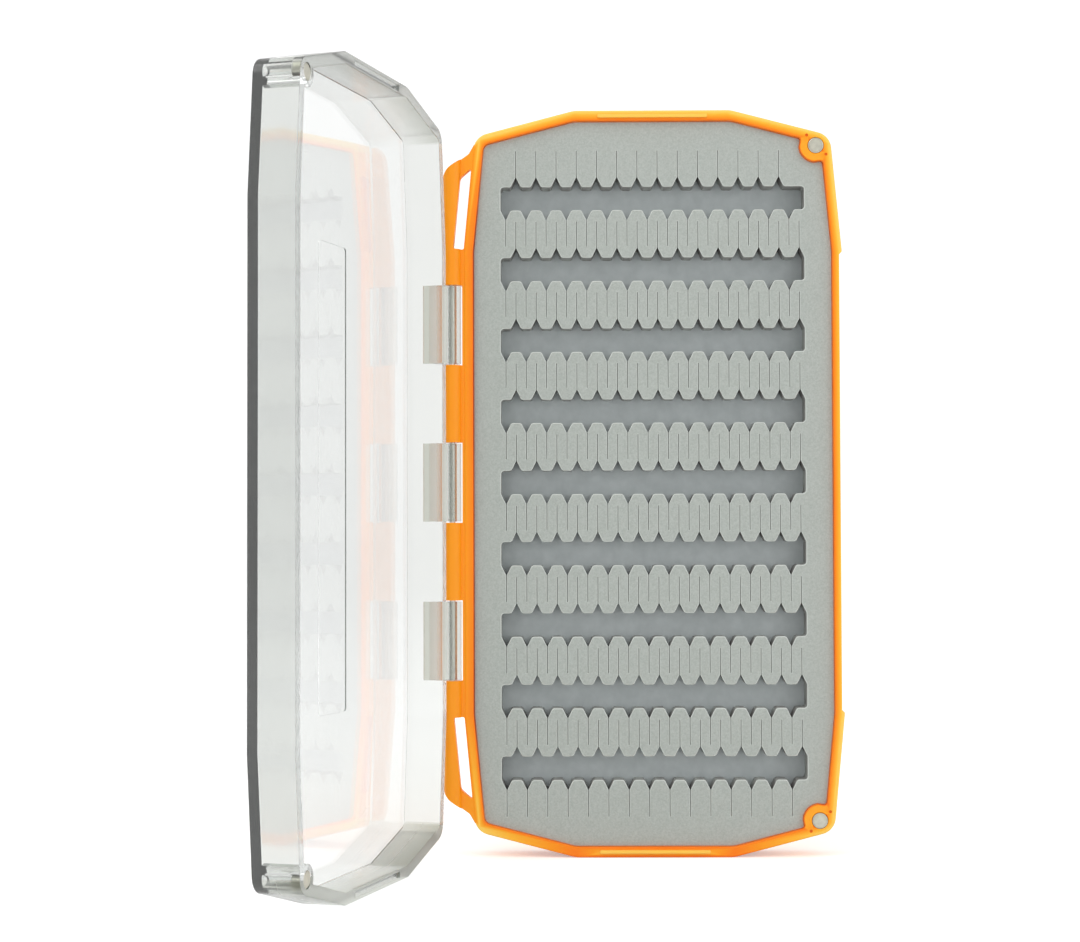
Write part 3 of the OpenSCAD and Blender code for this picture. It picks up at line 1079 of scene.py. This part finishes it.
def magnetProfile(face, back):
    # a chamfered disc whose face has a fine turned ring
    s = 1 if back > face else -1
    r, c, k, hub, deep = (magnet[key] for key in ("radius", "chamfer", "chamferRound", "hub", "ringDepth"))
    start, deepStart, deepEnd, end = (r * share for share in magnet["ring"])
    return [(hub, face), (start, face), (deepStart, face + s * deep), (deepEnd, face + s * deep), (end, face),
            (r - c, face), (r - c * k, face + s * c * k), (r, face + s * c),
            (r, back - s * c), (r - c, back), (hub, back)]


def makeMagnets():
    for s, end in ((1, "upper"), (-1, "lower")):
        for body, rim, sign, move in (("base", box["rimY"], 1, None), ("lid", lid["rimY"], -1, lidPose)):
            face = rim + sign * magnet["sink"]
            profile = magnetProfile(face, face + sign * magnet["thick"])
            disc = turned("disc", profile, (magnet["x"], s * magnet["z"]))
            place(disc, body + "Magnet" + end.title(), nickelFinish, body, [body + "_magnet_" + end],
                  move=move)


def makePin():
    profile = rodProfile(hinge["pinRadius"], -hinge["pinHalf"], hinge["pinHalf"], hinge["pinEdge"])
    pin = turned("pin", profile, (hinge["x"], hinge["y"]), "z", hinge["rodSides"])
    return place(pin, "hingePin", steelFinish, "base", ["hinge_pin"])


def lidOutline(inset):
    return boxOutline(inset, bend=lid["bend"])


def lidRings():
    # over the face's edge and the rim, then down the inside to the floor
    rimEdge, floor = roundover(lid["rimEdge"], lid["rimSteps"]), lid["faceY"] + lid["floor"]
    rings = []
    for across, up in roundover(lid["faceEdge"], lid["faceSteps"]):
        rings.append(flat(lidOutline(across), lid["faceY"] + up))
    for across, down in reversed(rimEdge):
        rings.append(flat(lidOutline(across), lid["rimY"] - down))
    for across, down in rimEdge:
        rings.append(flat(lidOutline(lid["wall"] - across), lid["rimY"] - down))
    for up, across in roundover(lid["innerEdge"], lid["innerSteps"]):
        rings.append(flat(lidOutline(lid["wall"] + across), floor + up))
    return rings


def knuckle(z):
    # round barrel with an arm that leaves it at a tangent and ends in a flat pad on the lid's wall
    above = hinge["y"] - lid["rimY"]
    reach = -box["halfWidth"] - hinge["x"]
    tip = (reach - lid["armEnd"], -lid["armReach"] - above)
    pad = (tip[0], tip[1] + lid["armFlat"])
    r = hinge["barrel"]
    lean = math.atan2(pad[1], pad[0]) - math.acos(r / math.hypot(*pad))
    root = reach + lid["wall"] / 2
    end = math.atan2(-above, math.sqrt(r * r - above * above))
    sweep = (lean - end) % (2 * math.pi)
    turns = [end + sweep * k / lid["barrelSteps"] for k in range(lid["barrelSteps"] + 1)]
    section = [(r * math.cos(a), r * math.sin(a)) for a in turns] + [pad, tip, (root, tip[1]), (root, -above)]
    half = hinge["knuckleLength"] / 2
    ends = [[(hinge["x"] + x, hinge["y"] + y, z + t) for x, y in section] for t in (-half, half)]
    return loft("knuckle", ends)


def magnetPost(centre):
    # kept just inside the lid's outer wall
    post = turned("post", [(lid["post"], lid["faceY"] + lid["postRoot"]), (lid["post"], lid["rimY"])], centre)
    clip = slab("clip", boxOutline(lid["postInset"]), lid["faceY"] - past, lid["rimY"] + past)
    return carve(post, [clip], "INTERSECT")


def postCuts(centre):
    # the magnet's pocket, and the hollow behind it
    pocket, hollow = magnet["radius"] + magnet["gap"], lid["postHollow"]
    pocketFloor = lid["rimY"] - magnet["sink"] - magnet["thick"]
    hollowProfile = [(hollow, lid["faceY"] + lid["floor"]), (hollow, lid["rimY"])]
    return [turned("pocket", [(pocket, pocketFloor), (pocket, lid["rimY"] + past)], centre),
            turned("hollow", hollowProfile, centre, sides=lid["hollowSides"])]


def ribGroove(s):
    # takes the tray's rib when the lid is shut
    middle, gap = s * (box["halfLength"] - tray["ribIn"]), lid["ribGap"]
    half, wide = tray["ribHalf"] + gap, tray["ribWidth"] / 2 + gap
    outline = rectangle(-half, half, middle - wide, middle + wide)
    return slab("groove", outline, lid["rimY"] - tray["ribHeight"] - gap, lid["rimY"] + past)


def labelPanel():
    off, across, along = lid["labelOff"], lid["labelHalfWidth"], lid["labelHalfLength"]
    outline = rectangle(off - across, off + across, -along, along)
    outline = roundCorners(outline, [lid["labelCorner"]] * 4, [lid["labelSteps"]] * 4)
    return slab("label", outline, lid["faceY"] - past, lid["faceY"] + lid["labelSet"])


# how much painted shade and frost the clear plastic takes, from 0 to 1: the grey-brown tone is painted shade
# and reflection, the frost real roughness; pairs are for the lower and the upper end
paintedShadeAndFrost = {
    "face": 0.0,
    "side": 0.17,
    "end": (0.55, 0.2),
    "rim": (0.85, 0.6),
    "barrel": 0.4,
    "arm": 1.0,
    "band": 0.02,
    "outside": 0.05,
}


# how much painted shade and frost each point of the lid takes
def paintedShadeAndFrostAt(x, y, z):
    if math.hypot(x - hinge["x"], y - hinge["y"]) < hinge["barrel"] + paintedShadeAndFrost["outside"]:
        return paintedShadeAndFrost["barrel"]
    if x < -box["halfWidth"] - paintedShadeAndFrost["outside"]:
        return paintedShadeAndFrost["arm"]
    onFloor = abs(y - lid["faceY"] - lid["floor"]) <= paintedShadeAndFrost["band"]
    if onFloor or y <= lid["faceY"] + lid["faceEdge"] - paintedShadeAndFrost["band"]:
        return paintedShadeAndFrost["face"]
    if abs(z) <= box["halfLength"] - box["gableHeight"] - lid["wall"]:
        return paintedShadeAndFrost["side"]
    height = "rim" if y > lid["rimY"] - lid["rimEdge"] - paintedShadeAndFrost["band"] else "end"
    return paintedShadeAndFrost[height][z > 0]


def makeLid():
    shell = loft("lidShell", lidRings())
    adds, cuts = [], []
    for s in magnetSides:
        centre = (magnet["x"], s * magnet["z"])
        adds.append(magnetPost(centre))
        cuts += postCuts(centre)
        cuts.append(ribGroove(s))
    adds += [knuckle(z) for z in knuckles]
    cuts.append(labelPanel())
    cuts.append(rodCut(hinge["pinRadius"] + hinge["pinRun"], -box["halfLength"], box["halfLength"]))
    carve(shell, adds, "UNION")
    carve(shell, cuts, "DIFFERENCE")
    values = shell.data.attributes.new("paintedShadeAndFrost", "FLOAT", "POINT").data
    for v in shell.data.vertices:
        values[v.index].value = paintedShadeAndFrostAt(*v.co)
    return place(shell, "clearLid", clearFinish, "lid", ["lid_shell"],
                 lid["sharpAngle"], lidPose, lid["normalWeight"])


makeMagnets()
makePin()
makeLid()
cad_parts["foam_adhesive"].data.materials.clear()
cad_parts["foam_adhesive"].data.materials.append(filmFinish)


# places and sizes in the studio are in metres
studio = {
    "floorColour": (0.88, 0.88, 0.88),
    "darker": 0.99,
    "darkAt": 0.3,
    "lightAt": 0.7,
    "floorCloud": 3.0,
    "floorDetail": 2,
    "floorShader": {"Roughness": 0.75, "Specular IOR Level": 0.15},
    "floorGlow": 0.36,
    "floorFront": -2.0,
    "floorBack": 3.0,
    "floorHalfWidth": 5.0,
    "bendRadius": 1.5,
    "bendSteps": 24,
    "wallHeight": 6.0,
    "worldLight": 0.86,
    "worldColour": (1, 1, 1),
    "lampAim": (0, 0, 0.09),
    "keyPower": 4.1,
    "keySize": 0.9,
    "keyPlace": (-0.6, -0.6, 1.05),
    "fillPower": 1.9,
    "fillSize": 0.9,
    "fillPlace": (0.8, -0.7, 0.5),
}


def seenDirectly(tree):
    # 1 for camera, glossy and transmission rays
    path = tree.nodes.new("ShaderNodeLightPath")
    value = path.outputs["Is Camera Ray"]
    for label in ("Is Glossy Ray", "Is Transmission Ray"):
        value = compute(tree, "MAXIMUM", value, path.outputs[label])
    return value


def floorShape():
    # a sheet of paper that runs back and bends up into a wall
    back, r, width = studio["floorBack"], studio["bendRadius"], studio["floorHalfWidth"]
    bend = [(back + math.sin(a) * r, r - math.cos(a) * r) for a in quarter(studio["bendSteps"])[1:]]
    line = [(studio["floorFront"], 0.0), (back, 0.0), *bend, (back + r, studio["wallHeight"])]
    bm = bmesh.new()
    left = [bm.verts.new((-width, y, z)) for y, z in line]
    right = [bm.verts.new((width, y, z)) for y, z in line]
    for i in range(len(line) - 1):
        bm.faces.new((left[i], right[i], right[i + 1], left[i + 1]))
    for f in bm.faces:
        f.smooth = True
    return makeObject("studioFloor", bm)


def paperMaterial():
    material, tree, shader, coords = newMaterial("paperFloor")
    cloud = noise(tree, coords, studio["floorCloud"], studio["floorDetail"])
    tree.links.new(ramp(tree, cloud, twoTones(studio["floorColour"], studio)), shader.inputs["Base Color"])
    setInputs(shader, studio["floorShader"])
    glow = tree.nodes.new("ShaderNodeEmission")
    strength = compute(tree, "MULTIPLY", seenDirectly(tree), studio["floorGlow"])
    tree.links.new(strength, glow.inputs["Strength"])
    both = tree.nodes.new("ShaderNodeAddShader")
    tree.links.new(shader.outputs["BSDF"], both.inputs[0])
    tree.links.new(glow.outputs["Emission"], both.inputs[1])
    tree.links.new(both.outputs["Shader"], tree.nodes["Material Output"].inputs["Surface"])
    return material


def makeFloor():
    floor = floorShape()
    floor.data.materials.append(paperMaterial())


def makeWorld():
    # full white where it is seen, and a little dimmer as a light
    world = bpy.data.worlds.new("studioWorld")
    bpy.context.scene.world = world
    world.use_nodes = True
    tree = world.node_tree
    background = tree.nodes["Background"]
    setInputs(background, {"Color": (*studio["worldColour"], 1)})
    strength = spread(tree, seenDirectly(tree), studio["worldLight"], 1.0)
    tree.links.new(strength, background.inputs["Strength"])


def makeLamp(name, power, size, at):
    lamp = bpy.data.lights.new(name, "AREA")
    lamp.energy = power
    lamp.size = size
    thing = bpy.data.objects.new(name, lamp)
    thing.location = at
    thing.rotation_euler = (Vector(studio["lampAim"]) - Vector(at)).to_track_quat("-Z", "Y").to_euler()
    bpy.context.scene.collection.objects.link(thing)


makeFloor()
makeWorld()
makeLamp("keyLamp", studio["keyPower"], studio["keySize"], studio["keyPlace"])
makeLamp("fillLamp", studio["fillPower"], studio["fillSize"], studio["fillPlace"])


# metres, degrees and millimetres of lens
camera = {
    "place": (-0.02364, -0.54063, 0.08258),
    "yaw": 0.561,
    "pitch": 1.641,
    "roll": 0.166,
    "lens": 70.06,
    "sensor": 36.0,
    "clipStart": 0.01,
}


def makeCamera():
    lensData = bpy.data.cameras.new("photoCamera")
    lensData.lens = camera["lens"]
    lensData.sensor_width = camera["sensor"]
    lensData.sensor_fit = "HORIZONTAL"
    lensData.clip_start = camera["clipStart"]
    photoCamera = bpy.data.objects.new("photoCamera", lensData)
    turn = Matrix.Translation(camera["place"])
    for angle, axis in (("yaw", "Z"), ("pitch", "X"), ("roll", "Y")):
        turn = turn @ Matrix.Rotation(math.radians(camera[angle]), 4, axis)
    photoCamera.matrix_world = turn @ Matrix.Rotation(math.pi / 2, 4, "X")
    bpy.context.scene.collection.objects.link(photoCamera)
    bpy.context.scene.camera = photoCamera


makeCamera()
bpy.context.scene.view_settings.view_transform = "Standard"
print("studio ready")
